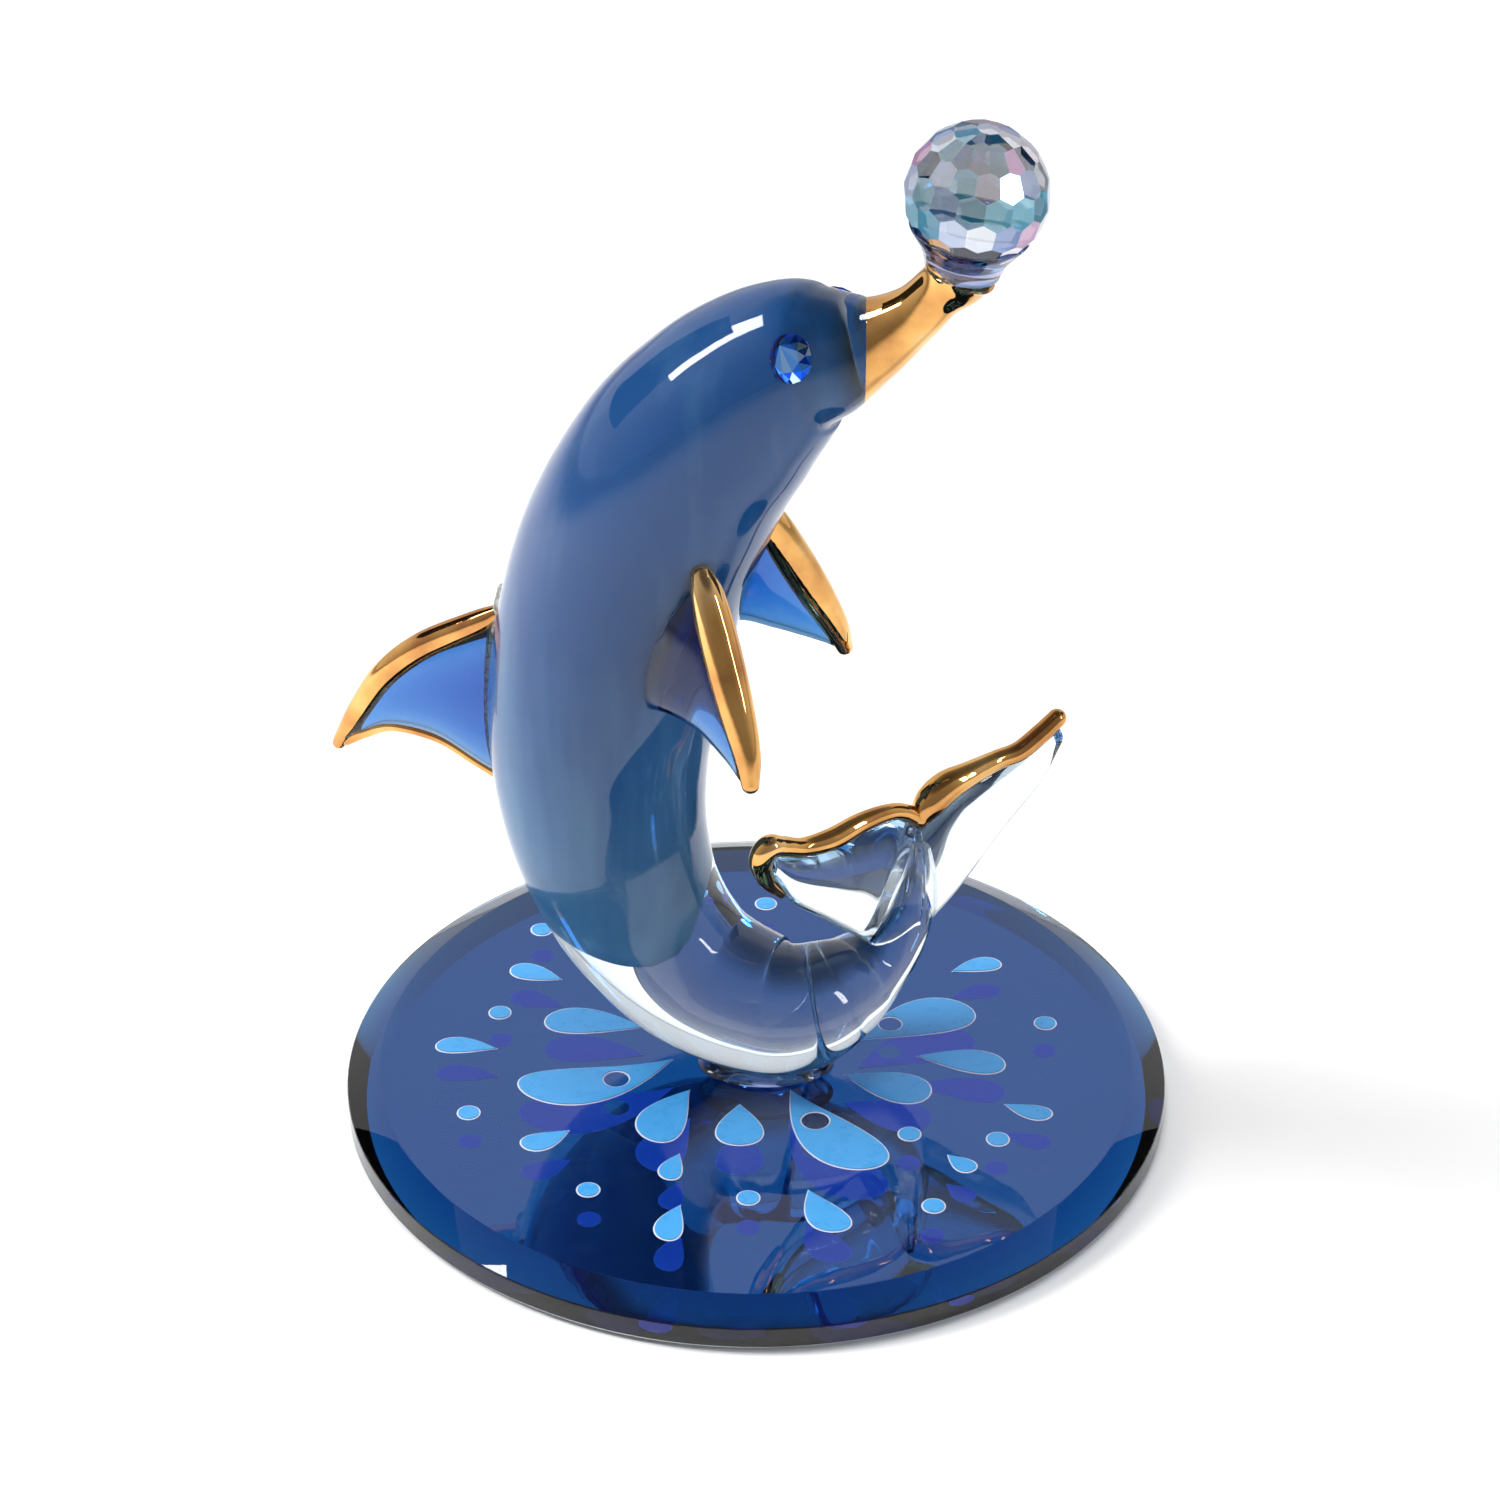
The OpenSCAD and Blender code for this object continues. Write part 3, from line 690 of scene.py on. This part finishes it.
class FIGURINE_OT_stage(bpy.types.Operator):
    """Pale floor, soft studio light and the camera"""

    bl_idname = "figurine.stage"
    bl_label = "Stage"

    def execute(self, context):
        reach, below = 2000, -0.1
        corners = [(-reach, -reach, below), (reach, -reach, below), (reach, reach, below),
                   (-reach, reach, below)]
        floor = mesh_piece("floor", corners, [(0, 1, 2, 3)], smooth=False)
        finish = Finish("floor_paper")
        fibre = finish.noise(30, 3)
        tone = finish.ramp(fibre, [(0.3, (0.88, 0.88, 0.885, 1)), (0.7, (0.9, 0.9, 0.905, 1))])
        floor.data.materials.append(finish.done(finish.surface(Base_Color=tone, Roughness=0.9)))
        for name, at, size, power, reflected in (
            ("key", (-0.38, 0.05, 0.38), (0.15, 0.30), 2.9, True),
            ("fill", (0.36, -0.20, 0.22), (0.03, 0.20), 0.3, True),
            ("top", (0.0, 0.05, 0.7), (0.3, 0.2), 2.6, False),
        ):
            lamp = bpy.data.lights.new(name, "AREA")
            lamp.shape, lamp.size, lamp.size_y, lamp.energy = "RECTANGLE", *size, power
            holder = bpy.data.objects.new(name, lamp)
            holder.location = at
            aim = Vector((0, 0, 0.045)) - Vector(at)
            holder.rotation_euler = aim.to_track_quat("-Z", "Y").to_euler()
            holder.visible_glossy = holder.visible_transmission = reflected
            context.scene.collection.objects.link(holder)
        self.dark_cards()
        self.surround(context.scene)
        data = bpy.data.cameras.new("camera")
        data.lens, data.sensor_width = 102.3, 36
        camera = bpy.data.objects.new("camera", data)
        camera.location = (0, -0.32071, 0.23905)
        camera.rotation_euler = (math.radians(57.81), 0, math.radians(0.101))
        context.scene.collection.objects.link(camera)
        context.scene.camera = camera
        context.scene.view_settings.view_transform = "Standard"
        context.scene.cycles.max_bounces = 20
        context.scene.cycles.transmission_bounces = 16
        context.scene.cycles.glossy_bounces = 8
        return {"FINISHED"}

    @staticmethod
    def dark_cards():
        """Black cards high at both sides, seen only in reflections and through glass."""
        finish = Finish("card_black")
        black = finish.done(finish.surface(Base_Color=(0.01, 0.01, 0.012, 1), Roughness=0.9))
        outline = [(20, 100), (170, 100), (170, 260), (20, 260)]
        for name, x in (("card_left", -190), ("card_right", 190)):
            corners = [(x, y, z) for y, z in outline]
            card = mesh_piece(name, corners, [(0, 1, 2, 3)], smooth=False)
            card.data.materials.append(black)
            card.visible_camera = card.visible_diffuse = card.visible_shadow = False

    @staticmethod
    def surround(scene):
        """Studio room: white up to about 40 degrees, darker overhead and towards the front."""
        world = bpy.data.worlds.new("surround")
        scene.world = world
        world.use_nodes = True
        nodes, links = world.node_tree.nodes, world.node_tree.links
        nodes.clear()
        where, split = nodes.new("ShaderNodeTexCoord"), nodes.new("ShaderNodeSeparateXYZ")
        height, front = nodes.new("ShaderNodeValToRGB"), nodes.new("ShaderNodeMapRange")
        product, light = nodes.new("ShaderNodeMath"), nodes.new("ShaderNodeBackground")
        out = nodes.new("ShaderNodeOutputWorld")
        levels = [(0.0, 1.05), (0.64, 1.05), (0.8, 0.3), (1.0, 0.12)]
        Finish.set_stops(height.color_ramp, [(z, (v, v, v, 1)) for z, v in levels])
        for key, value in ((1, -0.8), (2, 0.3), (3, 0.35), (4, 1.0)):
            front.inputs[key].default_value = value
        product.operation = "MULTIPLY"
        links.new(where.outputs["Generated"], split.inputs[0])
        links.new(split.outputs["Z"], height.inputs[0])
        links.new(split.outputs["Y"], front.inputs[0])
        links.new(height.outputs[0], product.inputs[0])
        links.new(front.outputs[0], product.inputs[1])
        links.new(product.outputs[0], light.inputs["Strength"])
        links.new(light.outputs[0], out.inputs["Surface"])


class FIGURINE_OT_base(bpy.types.Operator):
    """Bevelled cobalt glass with its silvering and its backing paint"""

    bl_idname = "figurine.base"
    bl_label = "Mirror base"

    def execute(self, context):
        low, high = (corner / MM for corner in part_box("base_glass"))
        radius, soft = high.x, sizes().rim_soften / MM
        rim, flat = low.z + RIM_HEIGHT, radius - BEVEL_WIDTH
        profile = [(0, low.z), (radius - soft, low.z), (radius, low.z + soft), (radius, rim - soft / 2),
                   (radius - soft / 2, rim + soft / 3), (flat + soft / 2, high.z - soft / 3),
                   (flat - soft / 2, high.z), (0, high.z)]
        glass = crease(lathe("bevelled_glass", profile, 256), 8)
        finish = clear_glass("base_glass", colours().base_passes, 0.01, 1.52)
        install(glass, finish, "base_glass")
        # The silvering keys into the glass, so that light meets it inside the glass
        keyed = low.z + 0.05
        silver = lathe("silvering", [(0, PAINT_THICK), (SILVER_RADIUS, PAINT_THICK),
                                     (SILVER_RADIUS, keyed), (0, keyed)], 256)
        install(crease(silver, 30), silvering(), "mirror_silver")
        paint = lathe("backing", [(0, 0), (37.5, 0), (PAINT_RADIUS, 0.08),
                                  (PAINT_RADIUS, PAINT_THICK), (0, PAINT_THICK)], 256)
        install(crease(paint, 30), backing(), "backing_paint")
        return {"FINISHED"}


def teardrop(drop, grow, z_low, z_high):
    """One bowed drop as a thin closed solid."""
    steps = 28
    tail, head = Vector(drop[2:4]), Vector(drop[0:2])
    along = (tail - head).normalized()
    left = Vector((-along.y, along.x))
    start = head - grow * along
    span = tail + grow * along - start
    shares = [(1 - math.cos(math.pi * i / steps)) / 2 for i in range(steps + 1)]

    def edge(s, sign):
        half = (drop[4] / 2 + grow) * DROP_FULLNESS * math.sqrt(s) * (1 - s) ** DROP_TAPER
        return start + span * s + left * (drop[5] * 4 * s * (1 - s) + sign * half)

    outline = [edge(s, -1) for s in shares] + [edge(s, 1) for s in reversed(shares[1:-1])]
    return [[Vector((*p, z)) for p in outline] for z in (z_low, z_high)]


def printed_drops(name, grow, z_low, z_high):
    """All the drops, with the round windows cut through the large ones."""
    vertices, faces = [], []
    for drop in PETALS:
        rings = teardrop(drop, grow, z_low, z_high)
        base, count = len(vertices), len(rings[0])
        vertices += rings[0] + rings[1]
        faces.append(tuple(base + j for j in range(count)))
        faces.append(tuple(base + count + j for j in range(count)))
        for j in range(count):
            k = (j + 1) % count
            faces.append((base + j, base + k, base + count + k, base + count + j))
    piece = mesh_piece(name, vertices, faces, smooth=False)
    for x, y, r in WINDOWS:
        hole = lathe("hole", [(0, z_low - 1), (r - grow, z_low - 1), (r - grow, z_high + 1),
                              (0, z_high + 1)], 48)
        hole.data.transform(Matrix.Translation(Vector((x, y, 0)) * MM))
        combine(piece, hole, "DIFFERENCE")
    return piece


def printed_dots(name, radius, z_low, z_high, material):
    """All the dots, set out by the Printed Dots tree."""
    mesh = bpy.data.meshes.new(name)
    middle = (z_low + z_high) / 2
    mesh.from_pydata([Vector((r * math.cos(math.radians(w)), r * math.sin(math.radians(w)), middle)) * MM
                      for r, w in DOTS], [], [])
    piece = bpy.data.objects.new(name, mesh)
    bpy.context.scene.collection.objects.link(piece)
    return run_tree(piece, bpy.data.node_groups["Printed Dots"], Radius=radius * MM,
                    Thickness=(z_high - z_low) * MM, Finish=material)


class FIGURINE_OT_print(bpy.types.Operator):
    """White underprint, blue drops and blue dots"""

    bl_idname = "figurine.print"
    bl_label = "Splash print"

    def execute(self, context):
        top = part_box("base_glass")[1].z / MM
        white = enamel("white_print", (0.82, 0.87, 0.9), (0.95, 0.97, 0.98), 1.4)
        blue = enamel("blue_print", tuple(colours().print_blue), (0.1, 0.47, 0.83))
        dots_tree()
        edge, radius = sizes().enamel_edge / MM, sizes().dot_radius / MM
        sunk, under_top = top - PRINT_SUNK, top + UNDERPRINT_TOP
        foot, face = top + ENAMEL_FOOT, top + ENAMEL_TOP
        under = printed_drops("drops_underprint", edge, sunk, under_top)
        rings = printed_dots("dots_underprint", radius + edge, sunk, under_top, white)
        with context.temp_override(active_object=under, selected_editable_objects=[under, rings]):
            bpy.ops.object.join()
        install(under, white, "splash_underprint")
        install(printed_drops("drops", 0, foot, face), blue, "splash_petals")
        install(printed_dots("dots", radius, foot, face, blue), blue, "splash_dots")
        return {"FINISHED"}


class FIGURINE_OT_body(bpy.types.Operator):
    """Clear casing with the blue core inside it, and the cement under the bend"""

    bl_idname = "figurine.body"
    bl_label = "Body"

    def execute(self, context):
        casing = combine(body_form("casing"), block(GILD_X, TAIL_TOP), "DIFFERENCE")
        install(crease(casing, 40), glass_for_body(), "body_casing")
        install(self.core(), core_glass(colours()), "body_core")
        low, high = (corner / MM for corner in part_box("foot_cement"))
        middle, half = (low + high) / 2, (high - low) / 2
        profile = [(0, 0), (1, 0), (0.99, 0.2), (0.9, 0.5), (0.82, 0.8), (0.8, 1), (0, 1)]
        rings = [[Vector((middle.x + half.x * r * math.cos(w), middle.y + half.y * r * math.sin(w),
                          low.z + 2 * half.z * h)) for w in (2 * math.pi * j / 64 for j in range(64))]
                 for r, h in profile]
        install(crease(skin("foot_meniscus", rings), 60), glass_for_joints(), "foot_cement")
        return {"FINISHED"}

    @staticmethod
    def core():
        """The core fills most of the casing and is rounded off inside the head and the bend."""
        count, last = 120, len(SPINE) - 1
        line = []
        for i in range(count + 1):
            station = CORE_FROM + (CORE_TO - CORE_FROM) * i / count
            p = curve(SPINE, station / last)
            ahead = (curve(SPINE, station / last + 0.01).xyz - p.xyz).normalized()
            back = Vector((0, 1, 0)).cross(ahead)
            ease = min(1, math.sqrt(max(CORE_LEAST, station - CORE_NECK)),
                       math.sqrt(max(CORE_LEAST, CORE_TO + CORE_LEAST - station)) / CORE_ROUNDING)
            shift = CORE_SHIFT * (1 - sizes().core_share)
            line.append(Vector((*(p.xyz + back * shift), p.w * sizes().core_share * ease)))
        return skin("core", [ring(line, i, 64) for i in range(count + 1)])


def seated_blade(name, edges, half_root, half_tip, nodes, material):
    """A blade whose root reaches a little way into the body."""
    piece = blade(name, edges, half_root, half_tip, 48, 48)
    combine(piece, body_form("body_cutter", -SEATED), "DIFFERENCE")
    return install(crease(piece, 50), material, *nodes)


class FIGURINE_OT_fins(bpy.types.Operator):
    """Dorsal fin and flippers in blue glass, with rolled gold edges"""

    bl_idname = "figurine.fins"
    bl_label = "Fins"

    def execute(self, context):
        roll_tree()
        blue = glass_for_fins()
        seated_blade("dorsal_blade", DORSAL, 1.9, 0.7, ["dorsal_fin"], blue)
        weld = rolled_edge("dorsal_seam", DORSAL_WELD, 1.0, 48, self.seam())
        install(weld, weld.data.materials[0], "dorsal_weld")
        for name, points, node in (
            ("dorsal_edge_upper", DORSAL_ROLL_UPPER, "dorsal_gold_upper"),
            ("dorsal_edge_lower", DORSAL_ROLL_LOWER, "dorsal_gold_lower"),
            ("flipper_edge_left", FLIPPER_ROLL, "flipper_left_gold"),
            ("flipper_edge_right", mirrored(FLIPPER_ROLL), "flipper_right_gold"),
        ):
            install(rolled_edge(name, points, 1.0, 80, gold()), gold(), node)
        seated_blade("flipper_blade_left", FLIPPER, 1.9, 0.8, ["flipper_left"], blue)
        right = tuple(mirrored(edge) for edge in FLIPPER)
        seated_blade("flipper_blade_right", right, 1.9, 0.8, ["flipper_right"], blue)
        return {"FINISHED"}

    @staticmethod
    def seam():
        """Pale fused seam with fine cracks."""
        finish = Finish("fused_seam")
        cracks = finish.add("ShaderNodeTexVoronoi", {"feature": "DISTANCE_TO_EDGE"},
                            {"Vector": finish.places(), "Scale": 900.0})
        tone = finish.ramp(cracks, [(0.0, (0.3, 0.3, 0.22, 1)), (0.12, (0.75, 0.8, 0.78, 1))])
        shader = finish.surface(Base_Color=tone, Transmission_Weight=0.6, IOR=1.45, Roughness=0.25,
                                Normal=finish.bump(cracks, 0.5, 0.0003))
        return finish.done(shader)


class FIGURINE_OT_flukes(bpy.types.Operator):
    """Tail lobes in clear glass, with rolled gold rims"""

    bl_idname = "figurine.flukes"
    bl_label = "Flukes"

    def execute(self, context):
        tail = shared("tail_glass", lambda: clear_glass("tail_glass", (0.95, 0.975, 0.992), 0.1))
        seated_blade("fluke_blade_right", FLUKE_RIGHT, 2, 1, ["fluke_right"], tail)
        seated_blade("fluke_blade_left", FLUKE_LEFT, 2.05, 1, ["fluke_left"], tail)
        install(rolled_edge("fluke_edge_right", FLUKE_RIGHT_ROLL, 1.0, 120, gold()), gold(),
                "fluke_right_gold")
        install(rolled_edge("fluke_edge_left", FLUKE_LEFT_ROLL, 1.0, 100, gold()), gold(),
                "fluke_left_gold")
        return {"FINISHED"}


class FIGURINE_OT_beak(bpy.types.Operator):
    """Gilded beak over its glass"""

    bl_idname = "figurine.beak"
    bl_label = "Beak"

    def execute(self, context):
        skin_piece = combine(body_form("beak_lustre"), block(GILD_X - 0.05, TAIL_TOP), "INTERSECT")
        install(crease(skin_piece, 40), gold(), "beak_gold")
        inner = combine(body_form("beak_rod", -0.25), block(GILD_X + 0.05, TAIL_TOP), "INTERSECT")
        install(crease(inner, 40), glass_for_body(), "beak_glass")
        return {"FINISHED"}


def polytope(name, normals, reach):
    """The solid that flat cuts with these normals leave, its furthest corner at a given reach."""
    shape = bmesh.new()
    for normal in normals:
        shape.verts.new(normal)
    bmesh.ops.convex_hull(shape, input=shape.verts)
    corners = []
    for face in shape.faces:
        face.normal_update()
        distance = abs(face.normal.dot(face.verts[0].co))
        sign = 1 if face.normal.dot(face.calc_center_median()) > 0 else -1
        corners.append(sign * face.normal / distance)
    shape.free()
    furthest = max(corner.length for corner in corners)
    corners = [corner * reach / furthest for corner in corners]
    solid = bmesh.new()
    for corner in corners:
        solid.verts.new(corner)
    bmesh.ops.remove_doubles(solid, verts=solid.verts, dist=reach * 1e-3)
    hull = bmesh.ops.convex_hull(solid, input=solid.verts)
    bmesh.ops.delete(solid, geom=[v for v in hull["geom_unused"] if isinstance(v, bmesh.types.BMVert)])
    bmesh.ops.dissolve_limit(solid, angle_limit=math.radians(1), verts=solid.verts, edges=solid.edges)
    bmesh.ops.recalc_face_normals(solid, faces=solid.faces)
    mesh = bpy.data.meshes.new(name)
    solid.to_mesh(mesh)
    solid.free()
    mesh.transform(Matrix.Scale(MM, 4))
    piece = bpy.data.objects.new(name, mesh)
    bpy.context.scene.collection.objects.link(piece)
    return piece


class FIGURINE_OT_ball(bpy.types.Operator):
    """Faceted crystal ball with an iridescent coat, in its cement cup"""

    bl_idname = "figurine.ball"
    bl_label = "Crystal ball"

    def execute(self, context):
        around = sizes().ball_facets
        normals = [Vector((0, 0, 1)), Vector((0, 0, -1))]
        rows = (72, 52, 33, 11, -11, -33, -52, -72)
        for k, latitude in enumerate(rows):
            count = around // 2 if abs(latitude) > 60 else around
            v = math.radians(latitude)
            for j in range(count):
                w = 2 * math.pi * (j + (k % 2) / 2) / count
                normals.append(Vector((math.cos(v) * math.cos(w), math.cos(v) * math.sin(w), math.sin(v))))
        ball = facet_tones(stand(polytope("faceted_ball", normals, 5.98), BALL_AT, BALL_AXIS), 3.0)
        # Facet tones: teal, blue and pink for the iridescent coat; the near-white facets are painted glints
        # and the near-black ones painted dark reflections
        stops = [(0.0, (0.005, 0.05, 0.14, 1)), (0.2, (0.01, 0.3, 0.42, 1)), (0.42, (0.3, 0.75, 0.9, 1)),
                 (0.58, (0.02, 0.14, 0.5, 1)), (0.78, (0.92, 0.96, 1, 1)), (0.9, (0.6, 0.25, 0.5, 1))]
        install(ball, cut_stone("crystal", stops, 0.45, 1.56), "crystal_ball")
        profile = [(0, -6.9), (3.15, -6.9), (3.3, -6.2), (3.8, -5.1), (4.5, -4.1), (4.95, -3.45),
                   (5.0, -3.3), (0, -3.3)]
        cup = stand(crease(lathe("ball_cup", profile, 64), 60), BALL_AT, BALL_AXIS)
        install(cup, glass_for_joints(), "ball_cement")
        return {"FINISHED"}


class FIGURINE_OT_eyes(bpy.types.Operator):
    """Round brilliant sapphire-blue eyes"""

    bl_idname = "figurine.eyes"
    bl_label = "Eyes"

    def execute(self, context):
        # Facet tones: the stone's own blue, lighter and darker facet by facet as painted reflections, the
        # palest a painted glint
        stops = [(0.0, (0.004, 0.03, 0.4, 1)), (0.35, (0.01, 0.12, 0.85, 1)), (0.7, (0.06, 0.35, 1, 1)),
                 (0.92, (0.6, 0.8, 1, 1))]
        stone = cut_stone("sapphire", stops, 0.1, 1.7)
        for name, node, side in (("eye_stone_left", "eye_left", 1), ("eye_stone_right", "eye_right", -1)):
            points = []
            for radius, height, count, turn in ((1.25, 0.8, 8, 0), (1.7, 0.52, 8, 0.5), (2.08, 0.12, 16, 0),
                                                (2.08, 0, 16, 0), (1.1, -0.75, 8, 0.5), (0.25, -1.38, 8, 0)):
                points += [(radius * math.cos(w), radius * math.sin(w), height)
                           for w in (2 * math.pi * (j + turn) / count for j in range(count))]
            piece = self.hull(name, points)
            stand(piece, (EYE_AT[0], side * EYE_AT[1], EYE_AT[2]),
                  (EYE_OUT[0], side * EYE_OUT[1], EYE_OUT[2]))
            install(facet_tones(piece, 11.0), stone, node)
        return {"FINISHED"}

    @staticmethod
    def hull(name, points):
        """The convex solid round points in millimetres."""
        solid = bmesh.new()
        for p in points:
            solid.verts.new(Vector(p) * MM)
        bmesh.ops.convex_hull(solid, input=solid.verts)
        bmesh.ops.recalc_face_normals(solid, faces=solid.faces)
        mesh = bpy.data.meshes.new(name)
        solid.to_mesh(mesh)
        solid.free()
        piece = bpy.data.objects.new(name, mesh)
        bpy.context.scene.collection.objects.link(piece)
        return piece


PIECES = (
    FIGURINE_OT_stage, FIGURINE_OT_base, FIGURINE_OT_print, FIGURINE_OT_body, FIGURINE_OT_fins,
    FIGURINE_OT_flukes, FIGURINE_OT_beak, FIGURINE_OT_ball, FIGURINE_OT_eyes,
)


class FIGURINE_PT_panel(bpy.types.Panel):
    """Lists the sizes, the colours and the pieces"""

    bl_idname = "FIGURINE_PT_panel"
    bl_label = "Glass figurine"
    bl_space_type = "VIEW_3D"
    bl_region_type = "UI"
    bl_category = "Figurine"

    def draw(self, context):
        for group in (context.scene.figurine_sizes, context.scene.figurine_colours):
            for key in group.__annotations__:
                self.layout.prop(group, key)
        for piece in PIECES:
            self.layout.operator(piece.bl_idname)


CLASSES = (FigurineSizes, FigurineColours, *PIECES, FIGURINE_PT_panel)


def register():
    for item in CLASSES:
        bpy.utils.register_class(item)
    bpy.types.Scene.figurine_sizes = PointerProperty(type=FigurineSizes)
    bpy.types.Scene.figurine_colours = PointerProperty(type=FigurineColours)


def unregister():
    del bpy.types.Scene.figurine_colours
    del bpy.types.Scene.figurine_sizes
    for item in reversed(CLASSES):
        bpy.utils.unregister_class(item)


def main():
    register()
    for piece in PIECES:
        group, name = piece.bl_idname.split(".")
        getattr(getattr(bpy.ops, group), name)()


if __name__ == "__main__":
    main()
